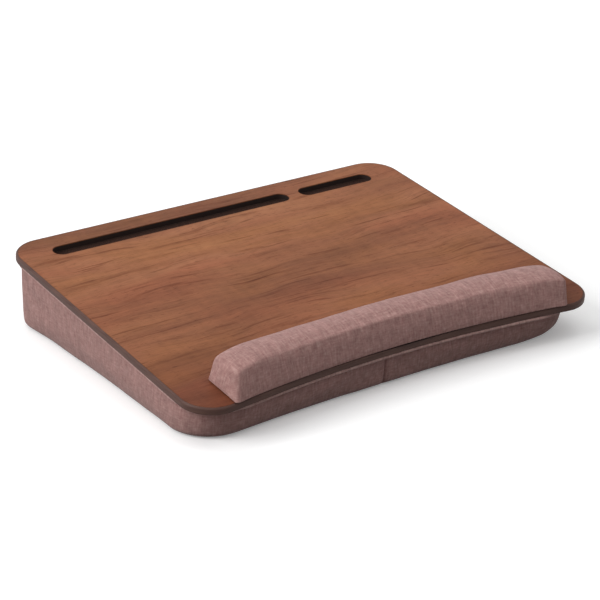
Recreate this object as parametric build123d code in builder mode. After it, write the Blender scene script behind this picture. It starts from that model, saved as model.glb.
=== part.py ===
"""Lap desk: a sloping board with two device slots, a wrist rest and a zipped foam cushion.

Millimetres. X runs across the desk, Y backwards, Z up. The origin is the middle of the
footprint, on the surface that the cushion rests on.
"""
from build123d import *
from math import asin, cos, degrees, hypot, radians, sin, sqrt
import os

os.makedirs("parts", exist_ok=True)

# Board
board_width = 400.0
board_depth = 320.0
board_slope = 6.0
board_front_height = 35.0
corner_radius = 28.0
front_hollow = 13.0
core_thickness = 4.6
laminate_thickness = 0.8
backing_thickness = 0.6
edge_band_thickness = 2.0
edge_bevel = 1.1
edge_flat = 0.2

# Slots for a tablet and a phone
slot_width = 17.0
tablet_slot_length = 243.0
phone_slot_length = 80.0
slot_gap = 13.0
slot_back_margin = 21.0

# Cushion
cushion_middle_x = -5.0
cushion_back_inset = 5.0
cushion_top_side_inset = 9.0
cushion_top_front_inset = 7.8
cushion_top_hollow = 10.2
cushion_top_radius = 38.0
footprint_side_inset = 9.0
footprint_front_inset = 17.0
footprint_hollow = 5.0
footprint_corner_radius = 38.0
cushion_back_radius = 26.0
cushion_bulge = 1.5
cushion_bottom_round = 6.0
cloth = 1.0
foam_side_clearance = 0.5
piping_diameter = 3.0
piping_clearance = 0.6
front_seam_offset = -6.0
back_seam_inset = 40.0

# Zip in the back of the cushion cover
zip_height = 31.0
zip_window = 12.0
zip_end_margin = 12.0
zip_tape_overlap = 4.0
zip_tape_width = 13.0
zip_tape_thickness = 0.6
zip_clearance = 0.25
tooth_pitch = 3.4
tooth_thickness = 2.4
tooth_reach = 1.2
tooth_root = 3.2
tooth_flank = 0.2
tooth_play = 0.05
tooth_gap = 0.3
stop_length = 2.6
slider_length = 12.0
slider_plate = 1.2
slider_flange = 1.0
slider_flare = 0.7
slider_wedge_length = 3.4
slider_wedge_width = 2.6
bridge_length = 5.6
bridge_width = 1.8
bridge_post = 1.0
bridge_roof = 0.9
pull_length = 23.0
pull_width = 6.4
pull_thickness = 1.2
pull_corner = 2.5
pull_grip_hole = 3.0

# Wrist rest
rest_width = 327.0
rest_depth = 40.0
rest_height = 21.0
rest_setback = 0.6
rest_front_lean = 7.0
rest_front_height = 17.5
rest_back_lean = 1.5
rest_crown = 1.4
rest_front_round = 8.0
rest_back_round = 6.0
rest_end_round = 5.5
rest_lift = 1.2
rest_base_thickness = 2.0
rest_turn_in = 9.0
rest_tape_width = 9.0
rest_tape_inset = 4.0
rest_tape_margin = 1.0

# Frame of the board: u runs across, v up the slope from the front corners, w out of the top
slope_sin = sin(radians(board_slope))
slope_cos = cos(radians(board_slope))
board_thickness = core_thickness + laminate_thickness + backing_thickness
board_front_y = -(board_depth * slope_cos + board_thickness * slope_sin) / 2
board_back_y = -board_front_y
board_normal = (0, -slope_sin, slope_cos)
board_top = Plane(
    origin=(0, board_front_y, board_front_height), x_dir=(1, 0, 0), z_dir=board_normal
)
core_top = board_top.offset(-laminate_thickness)
backing_top = core_top.offset(-core_thickness)
board_underside = backing_top.offset(-backing_thickness)


def front_sweep(width, front_radius, hollow):
    """Radius and centre of the front arc that meets both front corners smoothly."""
    corner_x = width / 2 - front_radius
    centre_distance = (corner_x**2 + hollow**2) / (2 * hollow)
    sweep_radius = centre_distance - front_radius
    return sweep_radius, hollow - sweep_radius


def hollow_outline(width, depth, front_radius, back_radius, hollow, inset=0.0):
    """Rounded outline with a hollow front, drawn in all round by inset."""
    corner_x = width / 2 - front_radius
    sweep_radius, sweep_centre = front_sweep(width, front_radius, hollow)
    lean = asin(corner_x / (sweep_radius + front_radius))
    front_arc = sweep_radius + inset
    meet = (front_arc * sin(lean), sweep_centre + front_arc * cos(lean))
    front_r = front_radius - inset
    back_r = back_radius - inset
    half = width / 2 - inset
    back = depth - inset
    turn = (radians(90) - lean) / 2
    front_mid = (corner_x + front_r * cos(turn), front_radius - front_r * sin(turn))
    back_x = width / 2 - back_radius
    back_v = depth - back_radius
    back_mid = (back_x + back_r * cos(radians(45)), back_v + back_r * sin(radians(45)))
    with BuildLine() as outline:
        ThreePointArc((-meet[0], meet[1]), (0, sweep_centre + front_arc), meet)
        ThreePointArc(meet, front_mid, (half, front_radius))
        Line((half, front_radius), (half, back_v))
        ThreePointArc((half, back_v), back_mid, (back_x, back))
        Line((back_x, back), (-back_x, back))
        ThreePointArc((-back_x, back), (-back_mid[0], back_mid[1]), (-half, back_v))
        Line((-half, back_v), (-half, front_radius))
        ThreePointArc((-half, front_radius), (-front_mid[0], front_mid[1]), (-meet[0], meet[1]))
    return outline.edges()


def board_outline(inset=0.0):
    """The board's outline, drawn in by inset."""
    return hollow_outline(board_width, board_depth, corner_radius, corner_radius, front_hollow, inset)


slots_length = tablet_slot_length + slot_gap + phone_slot_length
slot_v = board_depth - slot_back_margin - slot_width / 2
tablet_slot_u = -slots_length / 2 + tablet_slot_length / 2
phone_slot_u = slots_length / 2 - phone_slot_length / 2


def device_slots():
    """Cut the tablet slot and the phone slot out of the open sketch."""
    with Locations((tablet_slot_u, slot_v)):
        SlotOverall(tablet_slot_length, slot_width, mode=Mode.SUBTRACT)
    with Locations((phone_slot_u, slot_v)):
        SlotOverall(phone_slot_length, slot_width, mode=Mode.SUBTRACT)


# Board: decor sheet, core and backing sheet, with edging all round
with BuildPart() as top_laminate:
    with BuildSketch(board_top):
        make_face(board_outline(edge_band_thickness))
        device_slots()
    extrude(amount=-laminate_thickness)
top_laminate.part.label = "top_laminate"

with BuildPart() as board_core:
    with BuildSketch(core_top):
        make_face(board_outline(edge_band_thickness))
        device_slots()
    extrude(amount=-core_thickness)
board_core.part.label = "board_core"

with BuildPart() as backing_laminate:
    with BuildSketch(backing_top):
        make_face(board_outline(edge_band_thickness))
        device_slots()
    extrude(amount=-backing_thickness)
backing_laminate.part.label = "backing_laminate"

with BuildPart() as edge_band:
    with BuildSketch(board_top):
        make_face(board_outline())
    extrude(amount=-board_thickness)
    top_rim = edge_band.faces().sort_by(Axis(board_top.origin, board_normal))[-1]
    chamfer(top_rim.edges(), length=min(edge_bevel, edge_band_thickness - edge_flat))
    with BuildSketch(board_top):
        make_face(board_outline(edge_band_thickness))
    extrude(amount=-board_thickness, mode=Mode.SUBTRACT)
edge_band.part.label = "edge_band"

# Cushion: a wedge whose walls swell a little between the floor and the board
cushion_back_y = board_back_y - cushion_back_inset
cushion_top_front = board_underside.from_local_coords(
    (cushion_middle_x, cushion_top_front_inset, 0)
)
cushion_top_width = board_width - 2 * cushion_top_side_inset
footprint_width = board_width - 2 * footprint_side_inset
footprint_front_y = board_front_y + footprint_front_inset


def between(low, high, share):
    """The value that lies a share of the way from low to high."""
    return low + (high - low) * share


def cushion_form(inset, back_inset, floor):
    """Solid wedge inside the cushion's outside, from the floor height to the board.

    Its bottom round is three flats, or two on a form that lies inside the cover.
    """
    top = cushion_top_front.Z
    bottom_round = cushion_bottom_round - inset
    levels = []
    for turn in (0, 45, 90) if inset else (0, 30, 60, 90):
        rise = bottom_round * (1 - cos(radians(turn)))
        drawn_in = bottom_round * (1 - sin(radians(turn)))
        levels.append((floor + rise, 0.0, drawn_in))
    levels.append((between(cushion_bottom_round, top, 0.5), board_slope / 2, 0.0))
    levels.append((top, board_slope, 0.0))
    with BuildPart() as form:
        for height, tilt, drawn_in in levels:
            share = height / top
            swell = 4 * cushion_bulge * share * (1 - share)
            front_y = between(footprint_front_y, cushion_top_front.Y, share) - swell
            level_plane = Plane(
                origin=(cushion_middle_x, front_y, height),
                x_dir=(1, 0, 0),
                z_dir=(0, -sin(radians(tilt)), cos(radians(tilt))),
            )
            level_outline = hollow_outline(
                between(footprint_width, cushion_top_width, share) + 2 * swell,
                (cushion_back_y - back_inset - front_y) / cos(radians(tilt)) + inset,
                between(footprint_corner_radius, cushion_top_radius, share),
                cushion_back_radius,
                between(footprint_hollow, cushion_top_hollow, share),
                inset + drawn_in,
            )
            with BuildSketch(level_plane):
                make_face(level_outline)
        loft(ruled=True)
    return form.part


cushion_outside = cushion_form(0.0, 0.0, 0.0)
cushion_inside = cushion_form(cloth, cloth, cloth)
panel_plane = board_underside.offset(-cloth)

footprint_plane = Plane((cushion_middle_x, footprint_front_y, 0))
panel_inset = cushion_bottom_round + cloth

with BuildPart() as bottom_panel:
    with BuildSketch(footprint_plane):
        make_face(
            hollow_outline(
                footprint_width,
                cushion_back_y - footprint_front_y,
                footprint_corner_radius,
                cushion_back_radius,
                footprint_hollow,
                panel_inset,
            )
        )
    extrude(amount=cloth)
bottom_panel.part.label = "bottom_panel"

with BuildPart() as cushion_top_panel:
    add(cushion_outside)
    split(bisect_by=panel_plane, keep=Keep.TOP)
cushion_top_panel.part.label = "cushion_top_panel"

# Foam, kept clear of the zip's slider behind and a little loose in the cover at the sides
zip_y = cushion_back_y - cloth - zip_clearance - zip_tape_thickness / 2
slider_half_height = tooth_thickness / 2 + zip_clearance + slider_plate
foam_back_inset = cushion_back_y - zip_y + slider_half_height + zip_clearance
foam_form = cushion_form(cloth + foam_side_clearance, foam_back_inset, cloth)

with BuildPart() as foam_wedge:
    add(foam_form)
    split(bisect_by=panel_plane, keep=Keep.BOTTOM)
foam_wedge.part.label = "foam_wedge"

# Cover walls: one thin shell, cut at the front seam, the back seams and the zip's window
front_seam_x = cushion_middle_x + front_seam_offset
back_seam_x = board_width / 2 - back_seam_inset
above_desk = board_front_height + board_depth
window_low = zip_height - zip_window / 2
window_high = zip_height + zip_window / 2

with BuildPart() as cover_wall:
    add(cushion_outside)
    add(cushion_inside, mode=Mode.SUBTRACT)
    add(bottom_panel.part, mode=Mode.SUBTRACT)
    split(bisect_by=panel_plane, keep=Keep.BOTTOM)


def back_region(low, high):
    """Block round the back wall between the back seams, from low to high."""
    block = Box(
        2 * back_seam_x,
        2 * cushion_back_radius,
        high - low,
        align=(Align.CENTER, Align.CENTER, Align.MIN),
        mode=Mode.PRIVATE,
    )
    return block.moved(Location((cushion_middle_x, cushion_back_y, low)))


with BuildPart() as gusset_left:
    add(cover_wall.part)
    add(back_region(0, above_desk), mode=Mode.SUBTRACT)
    split(bisect_by=Plane.YZ.offset(front_seam_x), keep=Keep.BOTTOM)
gusset_left.part.label = "gusset_left"

with BuildPart() as gusset_right:
    add(cover_wall.part)
    add(back_region(0, above_desk), mode=Mode.SUBTRACT)
    split(bisect_by=Plane.YZ.offset(front_seam_x), keep=Keep.TOP)
gusset_right.part.label = "gusset_right"

with BuildPart() as back_gusset_lower:
    add(cover_wall.part)
    add(back_region(0, window_low), mode=Mode.INTERSECT)
back_gusset_lower.part.label = "back_gusset_lower"

with BuildPart() as back_gusset_upper:
    add(cover_wall.part)
    add(back_region(window_high, above_desk), mode=Mode.INTERSECT)
back_gusset_upper.part.label = "back_gusset_upper"

# Piping: a cloth roll under the board, against the top of the cover walls
piping_reach = piping_diameter / 2 + piping_clearance
piping_outline = hollow_outline(
    cushion_top_width,
    board_depth - cushion_top_front_inset - cushion_back_inset,
    cushion_top_radius,
    cushion_back_radius,
    cushion_top_hollow,
    -piping_reach,
)
piping_origin = board_underside.offset(-piping_diameter / 2).from_local_coords(
    (cushion_middle_x, cushion_top_front_inset, 0)
)
piping_plane = Plane(origin=piping_origin, x_dir=(1, 0, 0), z_dir=board_normal)
piping_line = Wire(piping_outline).moved(piping_plane.location)

with BuildPart() as top_piping:
    with BuildSketch(Plane(origin=piping_line @ 0, z_dir=piping_line % 0)):
        RegularPolygon(radius=piping_diameter / 2, side_count=8)
    sweep(path=piping_line)
top_piping.part.label = "top_piping"

# Wrist rest: a bar that follows the board's hollow front, turned about the arc's centre
sweep_radius, sweep_centre = front_sweep(board_width, corner_radius, front_hollow)
rest_front = sweep_radius + rest_setback
rest_half_angle = asin(rest_width / 2 / rest_front)
rest_centre = board_top.from_local_coords((0, sweep_centre, 0))
rest_floor = rest_lift + cloth


def rest_end_plane(inset):
    """Upright plane at the rest's left end, drawn in by inset: x outwards, y up."""
    half_angle = rest_half_angle - inset / rest_front
    outwards = (-sin(half_angle), sweep_centre + cos(half_angle), 0)
    across = (cos(half_angle), sweep_centre + sin(half_angle), 0)
    return Plane(
        origin=rest_centre,
        x_dir=board_top.from_local_coords(outwards) - rest_centre,
        z_dir=board_top.from_local_coords(across) - rest_centre,
    )


def rest_turn(inset):
    """Turn in degrees from the rest's left end to its right end, drawn in by inset."""
    return 2 * degrees(rest_half_angle - inset / rest_front)


clockwise_axis = Axis(rest_centre, -Vector(*board_normal))


def round_or_cut(corners, radius, inset):
    """Round the outside's corners; inside, cut them flat where that round would be touched."""
    if inset:
        chamfer(corners, length=(2 - sqrt(2)) * (radius - inset))
    else:
        fillet(corners, radius=radius)


def rest_form(inset, low):
    """Solid of the wrist rest inside its outside by inset, from the height low upwards."""
    front = rest_front + inset
    back = rest_front + rest_depth - inset
    front_top = (front + rest_front_lean, rest_lift + rest_front_height - inset)
    back_top = (back - rest_back_lean, rest_lift + rest_height - inset)
    middle = ((front_top[0] + back_top[0]) / 2, (front_top[1] + back_top[1]) / 2 + rest_crown)
    with BuildPart() as form:
        with BuildSketch(rest_end_plane(inset)) as section:
            with BuildLine():
                Line((front, low), front_top)
                ThreePointArc(front_top, middle, back_top)
                Line(back_top, (back, low))
                Line((back, low), (front, low))
            make_face()
            front_corner = section.vertices().sort_by(Axis.X)[:2].sort_by(Axis.Y)[-1]
            round_or_cut(front_corner, rest_front_round, inset)
            back_corner = section.vertices().sort_by(Axis.X)[-2:].sort_by(Axis.Y)[-1]
            round_or_cut(back_corner, rest_back_round, inset)
        revolve(axis=clockwise_axis, revolution_arc=rest_turn(inset))
        ends = form.faces().sort_by(Axis.X)
        height = Axis(rest_centre, board_normal)
        rims = ends[0].edges().sort_by(height)[1:] + ends[-1].edges().sort_by(height)[1:]
        round_or_cut(rims, rest_end_round, inset)
    return form.part


def rest_slab(front_inset, depth, end_inset, low, high):
    """Flat arc-shaped slab that follows the rest, for its turn-in opening and its tape."""
    with BuildPart() as slab:
        with BuildSketch(rest_end_plane(end_inset)):
            with Locations((rest_front + front_inset, low)):
                Rectangle(depth, high - low, align=(Align.MIN, Align.MIN))
        revolve(axis=clockwise_axis, revolution_arc=rest_turn(end_inset))
    return slab.part


rest_outside = rest_form(0.0, rest_lift)
rest_inside = rest_form(cloth, rest_floor)
turn_in_opening = rest_slab(
    rest_turn_in, rest_depth - 2 * rest_turn_in, rest_turn_in, rest_lift, rest_floor
)
base_top = board_top.offset(rest_floor + rest_base_thickness)

with BuildPart() as wrist_rest_cover:
    add(rest_outside)
    add(rest_inside, mode=Mode.SUBTRACT)
    add(turn_in_opening, mode=Mode.SUBTRACT)
wrist_rest_cover.part.label = "wrist_rest_cover"

with BuildPart() as wrist_rest_base:
    add(rest_inside)
    split(bisect_by=base_top, keep=Keep.BOTTOM)
wrist_rest_base.part.label = "wrist_rest_base"

with BuildPart() as wrist_rest_foam:
    add(rest_inside)
    split(bisect_by=base_top, keep=Keep.TOP)
wrist_rest_foam.part.label = "wrist_rest_foam"

tape_end_inset = rest_turn_in + rest_tape_inset
front_tape_inset = rest_turn_in + rest_tape_margin
back_tape_inset = rest_depth - front_tape_inset - rest_tape_width
front_tape = rest_slab(front_tape_inset, rest_tape_width, tape_end_inset, 0, rest_floor)
back_tape = rest_slab(back_tape_inset, rest_tape_width, tape_end_inset, 0, rest_floor)

with BuildPart() as wrist_rest_tape:
    add(front_tape)
    add(back_tape)
wrist_rest_tape.part.label = "wrist_rest_tape"

# Zip, drawn as seen from behind: x to the right, y up, z out of the cover
zip_plane = Plane(
    origin=(cushion_middle_x, zip_y, zip_height), x_dir=(-1, 0, 0), z_dir=(0, 1, 0)
)
tape_length = 2 * (back_seam_x + zip_tape_overlap)
teeth_per_row = int(2 * (back_seam_x - zip_end_margin) / tooth_pitch)
row_shift = tooth_pitch / 4
chain_end = teeth_per_row * tooth_pitch / 2 + row_shift


def zip_tape(side):
    """Woven tape above (side 1) or below (side -1) the teeth."""
    with BuildPart() as tape:
        with BuildSketch(zip_plane):
            with Locations((0, side * (tooth_root + zip_tape_width / 2))):
                Rectangle(tape_length, zip_tape_width)
        extrude(amount=zip_tape_thickness / 2, both=True)
    return tape.part


def tooth_row(side):
    """Moulded teeth along one tape; their dovetail heads hook between the other row's."""
    middle_half = row_shift - tooth_play
    neck_y = tooth_reach + tooth_play
    root_half = (tooth_pitch - tooth_gap) / 2
    neck_half = middle_half - tooth_flank * neck_y
    head_half = middle_half + tooth_flank * tooth_reach
    right = [
        (head_half, -side * tooth_reach),
        (neck_half, side * neck_y),
        (root_half, side * tooth_root),
    ]
    left = [(-x, y) for x, y in reversed(right)]
    with BuildPart() as row:
        with BuildSketch(zip_plane):
            with Locations((side * row_shift, 0)):
                with GridLocations(tooth_pitch, 0, teeth_per_row, 1):
                    Polygon(*right, *left, align=None)
        extrude(amount=tooth_thickness / 2, both=True)
    return row.part


with BuildPart() as zip_tape_upper:
    add(zip_tape(1))
zip_tape_upper.part.label = "zip_tape_upper"

with BuildPart() as zip_tape_lower:
    add(zip_tape(-1))
zip_tape_lower.part.label = "zip_tape_lower"

with BuildPart() as zip_teeth_upper:
    add(tooth_row(1))
zip_teeth_upper.part.label = "zip_teeth_upper"

with BuildPart() as zip_teeth_lower:
    add(tooth_row(-1))
zip_teeth_lower.part.label = "zip_teeth_lower"

# Slider at the closed end: two plates with flanges, joined by the wedge that parts the teeth
flange_inside = tooth_root + zip_clearance
rear_half = flange_inside + slider_flange
front_half = rear_half + slider_flare
nose_x = slider_length / 2
wedge_front = nose_x - slider_flange
wedge_tip = wedge_front - slider_wedge_length
slider_x = chain_end + zip_clearance - wedge_tip
slider_plane = Plane(
    origin=zip_plane.from_local_coords((slider_x, 0, 0)), x_dir=(-1, 0, 0), z_dir=(0, 1, 0)
)
plate_outer = slider_plane.offset(slider_half_height)
bridge_window = pull_thickness + 2 * zip_clearance
bridge_height = bridge_window + bridge_roof
flare_start = wedge_tip - slider_flare
flare_end = flare_start + 2 * slider_flare

with BuildPart() as zip_slider:
    with BuildSketch(slider_plane):
        Polygon(
            (-nose_x, -rear_half),
            (flare_start, -rear_half),
            (flare_end, -front_half),
            (nose_x - slider_flare, -front_half),
            (nose_x, -front_half + 2 * slider_flare),
            (wedge_front, 0),
            (nose_x, front_half - 2 * slider_flare),
            (nose_x - slider_flare, front_half),
            (flare_end, front_half),
            (flare_start, rear_half),
            (-nose_x, rear_half),
            align=None,
        )
    extrude(amount=slider_half_height, both=True)
    with BuildSketch(slider_plane):
        Polygon(
            (-nose_x, -flange_inside),
            (flare_start, -flange_inside),
            (flare_end, -flange_inside - slider_flare),
            (nose_x, -flange_inside - slider_flare),
            (nose_x, flange_inside + slider_flare),
            (flare_end, flange_inside + slider_flare),
            (flare_start, flange_inside),
            (-nose_x, flange_inside),
            align=None,
        )
    extrude(amount=tooth_thickness / 2 + zip_clearance, both=True, mode=Mode.SUBTRACT)
    with BuildSketch(slider_plane):
        Rectangle(slider_length, 2 * front_half)
    extrude(amount=zip_tape_thickness / 2 + zip_clearance, both=True, mode=Mode.SUBTRACT)
    with BuildSketch(slider_plane):
        Polygon(
            (wedge_tip, 0),
            (wedge_front, -slider_wedge_width / 2),
            (wedge_front, slider_wedge_width / 2),
            align=None,
        )
    extrude(amount=slider_half_height, both=True)
    with BuildSketch(plate_outer):
        Rectangle(bridge_length, bridge_width)
    extrude(amount=bridge_height)
    with BuildSketch(plate_outer):
        Rectangle(bridge_length - 2 * bridge_post, bridge_width)
    extrude(amount=bridge_window, mode=Mode.SUBTRACT)
zip_slider.part.label = "zip_slider"

# Pull: its crossbar turns under the slider's bridge
pivot_height = zip_clearance + pull_thickness / 2
pull_plane = plate_outer.offset(pivot_height)
bridge_corner = hypot(bridge_length / 2, bridge_height - pivot_height)
eye_length = bridge_corner + zip_clearance - pull_thickness / 2
eye_width = bridge_width + 2 * zip_clearance
crossbar_start = pull_plane.from_local_coords((0, -pull_width / 2, 0))

with BuildPart() as zip_pull:
    with BuildSketch(pull_plane) as pull_outline:
        Rectangle(pull_length, pull_width, align=(Align.MAX, Align.CENTER))
        fillet(pull_outline.vertices().sort_by(Axis.X)[:2], radius=pull_corner)
        with Locations((-pull_thickness / 2, 0)):
            Rectangle(eye_length, eye_width, align=(Align.MAX, Align.CENTER), mode=Mode.SUBTRACT)
        with Locations((-pull_length + pull_width / 2, 0)):
            Circle(pull_grip_hole / 2, mode=Mode.SUBTRACT)
    extrude(amount=pull_thickness / 2, both=True)
    with BuildSketch(Plane(origin=crossbar_start, z_dir=(0, 0, 1))):
        Circle(pull_thickness / 2)
    extrude(amount=pull_width)
zip_pull.part.label = "zip_pull"

# Stops crimped on the tapes at both ends of the teeth
stop_half_height = tooth_thickness / 2 + zip_clearance
top_stop_x = slider_x + nose_x + zip_clearance + stop_length / 2
top_stop_y = tooth_root / 2 + zip_clearance
bottom_stop_x = -chain_end - zip_clearance - stop_length / 2
slider_travel = slider_x - nose_x - (bottom_stop_x + stop_length / 2) - zip_clearance

with BuildPart() as zip_top_stops:
    with BuildSketch(zip_plane):
        with Locations((top_stop_x, -top_stop_y), (top_stop_x, top_stop_y)):
            Rectangle(stop_length, tooth_root - 2 * zip_clearance)
    extrude(amount=stop_half_height, both=True)
zip_top_stops.part.label = "zip_top_stops"

with BuildPart() as zip_bottom_stop:
    with BuildSketch(zip_plane):
        with Locations((bottom_stop_x, 0)):
            Rectangle(stop_length, 2 * tooth_root)
    extrude(amount=stop_half_height, both=True)
zip_bottom_stop.part.label = "zip_bottom_stop"

print("slider travel", round(slider_travel, 3))
print("slider rest x", round(slider_plane.origin.X, 3))
pivot = pull_plane.origin
print("pull pivot", round(pivot.X, 3), round(pivot.Y, 3), round(pivot.Z, 3))

pieces = [
    board_core,
    top_laminate,
    backing_laminate,
    edge_band,
    cushion_top_panel,
    top_piping,
    gusset_left,
    gusset_right,
    back_gusset_upper,
    back_gusset_lower,
    bottom_panel,
    foam_wedge,
    zip_tape_upper,
    zip_tape_lower,
    zip_teeth_upper,
    zip_teeth_lower,
    zip_top_stops,
    zip_bottom_stop,
    zip_slider,
    zip_pull,
    wrist_rest_tape,
    wrist_rest_base,
    wrist_rest_foam,
    wrist_rest_cover,
]
for piece in pieces:
    export_step(piece.part, f"parts/{piece.part.label}.step")
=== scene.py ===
"""Lap desk: the finish of every piece, in metres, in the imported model's own frame."""
import math

import bpy
from mathutils import Matrix, Vector, noise


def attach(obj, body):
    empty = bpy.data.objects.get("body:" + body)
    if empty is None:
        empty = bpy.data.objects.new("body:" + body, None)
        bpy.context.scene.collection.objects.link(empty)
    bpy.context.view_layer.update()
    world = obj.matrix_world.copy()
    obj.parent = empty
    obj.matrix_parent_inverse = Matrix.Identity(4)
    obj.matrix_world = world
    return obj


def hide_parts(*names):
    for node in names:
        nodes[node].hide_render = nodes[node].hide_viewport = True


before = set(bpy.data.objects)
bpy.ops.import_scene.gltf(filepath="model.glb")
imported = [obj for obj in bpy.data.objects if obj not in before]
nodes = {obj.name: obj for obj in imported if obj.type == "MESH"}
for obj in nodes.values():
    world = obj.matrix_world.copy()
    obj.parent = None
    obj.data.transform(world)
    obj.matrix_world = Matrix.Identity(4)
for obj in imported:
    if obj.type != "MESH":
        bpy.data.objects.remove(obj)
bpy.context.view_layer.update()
scene = bpy.context.scene
bpy.ops.object.select_all(action="DESELECT")


# Decor sheet: a printed walnut sheet pressed on the board, satin, with its grain across the desk.
# The print has broad bands, short dark strokes and a faint cross figure. Painted shade darkens
# its front where the wrist rest shades it, most towards the front corners. It is also a little darker
# behind the slots.
def srgb(red, green, blue):
    """A screen colour from 0 to 255 as the linear colour that a shader takes."""
    values = [channel / 255 for channel in (red, green, blue)]
    linear = [v / 12.92 if v <= 0.04045 else ((v + 0.055) / 1.055) ** 2.4 for v in values]
    return (*linear, 1.0)


class Finish:
    """A material whose nodes are added one after another."""

    def __init__(self, name, roughness, specular=0.5):
        self.material = bpy.data.materials.new(name)
        self.material.use_nodes = True
        self.tree = self.material.node_tree
        self.shader = self.tree.nodes["Principled BSDF"]
        self.shader.inputs["Roughness"].default_value = roughness
        self.shader.inputs["Specular IOR Level"].default_value = specular

    def node(self, kind, inputs=None, **settings):
        """Add a node, set its settings, and set or link its inputs."""
        made = self.tree.nodes.new("ShaderNode" + kind)
        for name, value in settings.items():
            setattr(made, name, value)
        for key, value in (inputs or {}).items():
            if isinstance(value, bpy.types.NodeSocket):
                self.tree.links.new(value, made.inputs[key])
            else:
                made.inputs[key].default_value = value
        return made

    def place(self, scale, source="Object", turn=(0.0, 0.0, 0.0)):
        """Coordinates stretched by scale along each axis."""
        coordinates = self.node("TexCoord")
        inputs = {"Vector": coordinates.outputs[source], "Scale": scale, "Rotation": turn}
        return self.node("Mapping", inputs).outputs[0]

    def noise(self, vector, scale=1.0, detail=4.0, roughness=0.5, distortion=0.0):
        """Grey noise over the coordinates."""
        inputs = {
            "Vector": vector,
            "Scale": scale,
            "Detail": detail,
            "Roughness": roughness,
            "Distortion": distortion,
        }
        return self.node("TexNoise", inputs).outputs[0]

    def ramp(self, value, *stops):
        """Colours by value; each stop is a place from 0 to 1 and a colour."""
        made = self.node("ValToRGB", {0: value})
        band = made.color_ramp
        while len(band.elements) < len(stops):
            band.elements.new(1.0)
        for element, (place, colour) in zip(band.elements, stops):
            element.position = place
            element.color = colour
        return made.outputs[0]

    def mix(self, factor, first, second, blend="MIX"):
        """Two colours mixed."""
        inputs = {0: factor, 6: first, 7: second}
        return self.node("Mix", inputs, data_type="RGBA", blend_type=blend).outputs[2]

    def math(self, operation, first, second=0.0):
        """A sum, product or other result of two values."""
        return self.node("Math", {0: first, 1: second}, operation=operation).outputs[0]

    def colour(self, socket):
        """Link the base colour."""
        self.tree.links.new(socket, self.shader.inputs["Base Color"])

    def bump(self, height, strength, distance):
        """Link a bump of this depth in metres."""
        inputs = {"Height": height, "Strength": strength, "Distance": distance}
        made = self.node("Bump", inputs)
        self.tree.links.new(made.outputs[0], self.shader.inputs["Normal"])


def cover(piece, finish):
    """Give a piece one material all over."""
    piece.data.materials.clear()
    piece.data.materials.append(finish.material)


def grey(value):
    """A colour that only carries a value."""
    return (value, value, value, 1.0)


grain_wander = 0.016
walnut = Finish("walnut_decor", roughness=0.55, specular=0.12)
wander = walnut.noise(walnut.place((7.0, 16.0, 16.0)), detail=2.0, roughness=0.5)
wander_share = walnut.ramp(wander, (0.25, grey(0.0)), (0.75, grey(1.0)))
aside = walnut.node("VectorMath", {0: wander_share, 1: (0.0, grain_wander, 0.0)}, operation="MULTIPLY")
sheet_spot = walnut.node("TexCoord").outputs["Object"]
bent_spot = walnut.node("VectorMath", {0: sheet_spot, 1: aside.outputs[0]}, operation="ADD").outputs[0]


def along_grain(scale, detail, roughness=0.55):
    """Noise drawn out along the grain, bent a little across it."""
    mapped = walnut.node("Mapping", {"Vector": bent_spot, "Scale": scale}).outputs[0]
    return walnut.noise(mapped, detail=detail, roughness=roughness)


bands = along_grain((3.0, 26.0, 26.0), 4.0)
streaks = along_grain((15.0, 115.0, 115.0), 4.0, 0.6)
dark_lines = along_grain((16.0, 260.0, 260.0), 3.0)
fibre = along_grain((45.0, 900.0, 900.0), 3.0)
patches = along_grain((6.0, 17.0, 17.0), 2.0)
flecks = along_grain((150.0, 1500.0, 1500.0), 2.0)
ripple = walnut.noise(walnut.place((120.0, 22.0, 22.0), turn=(0.0, 0.0, 0.35)), detail=3.0)
walnut_colour = walnut.ramp(
    bands,
    (0.30, srgb(120, 74, 51)),
    (0.42, srgb(136, 86, 59)),
    (0.56, srgb(148, 95, 66)),
    (0.72, srgb(159, 106, 75)),
)
for share, value, stops in (
    (1.0, patches, ((0.34, srgb(255, 244, 246)), (0.50, grey(1.0)), (0.64, srgb(255, 255, 240)))),
    (0.9, streaks, ((0.28, srgb(214, 196, 184)), (0.42, grey(0.96)), (0.62, grey(1.05)))),
    (0.75, dark_lines, ((0.30, srgb(190, 164, 148)), (0.42, grey(1.0)))),
    (1.0, fibre, ((0.30, grey(0.88)), (0.62, grey(1.07)))),
    (0.7, flecks, ((0.28, srgb(160, 132, 118)), (0.40, grey(1.0)))),
    (0.7, ripple, ((0.35, grey(0.93)), (0.65, grey(1.07)))),
):
    walnut_colour = walnut.mix(share, walnut_colour, walnut.ramp(value, *stops), "MULTIPLY")

# Painted shade on the sheet from front to back, with half a metre added so that it fits the ramp. The
# darkened front stands for the wrist rest's shade and reaches further back towards the corners, most at
# the right. Behind the slots it is a little darker.
middle_on_ramp = 0.5
across, deep = walnut.node("SeparateXYZ", {0: bent_spot}).outputs[:2]
shade_right_lean = walnut.math("MULTIPLY", walnut.math("MAXIMUM", across, 0.0), -0.20)
shade_left_lean = walnut.math("MULTIPLY", walnut.math("MINIMUM", across, 0.0), 0.08)
shade_ramp_place = walnut.math("ADD", walnut.math("ADD", deep, middle_on_ramp), shade_right_lean)
painted_shade_front_to_back = walnut.ramp(
    walnut.math("ADD", shade_ramp_place, shade_left_lean),
    (0.345, srgb(196, 176, 178)),
    (0.398, srgb(226, 217, 219)),
    (0.428, srgb(245, 242, 243)),
    (0.452, grey(1.0)),
    (0.618, grey(1.0)),
    (0.646, srgb(226, 226, 232)),
)
# Painted shade from the wrist rest, multiplied into the printed walnut.
walnut_colour = walnut.mix(1.0, walnut_colour, painted_shade_front_to_back, "MULTIPLY")
walnut.colour(walnut_colour)
walnut.bump(fibre, 0.2, 0.0001)
cover(nodes["top_laminate"], walnut)


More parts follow.
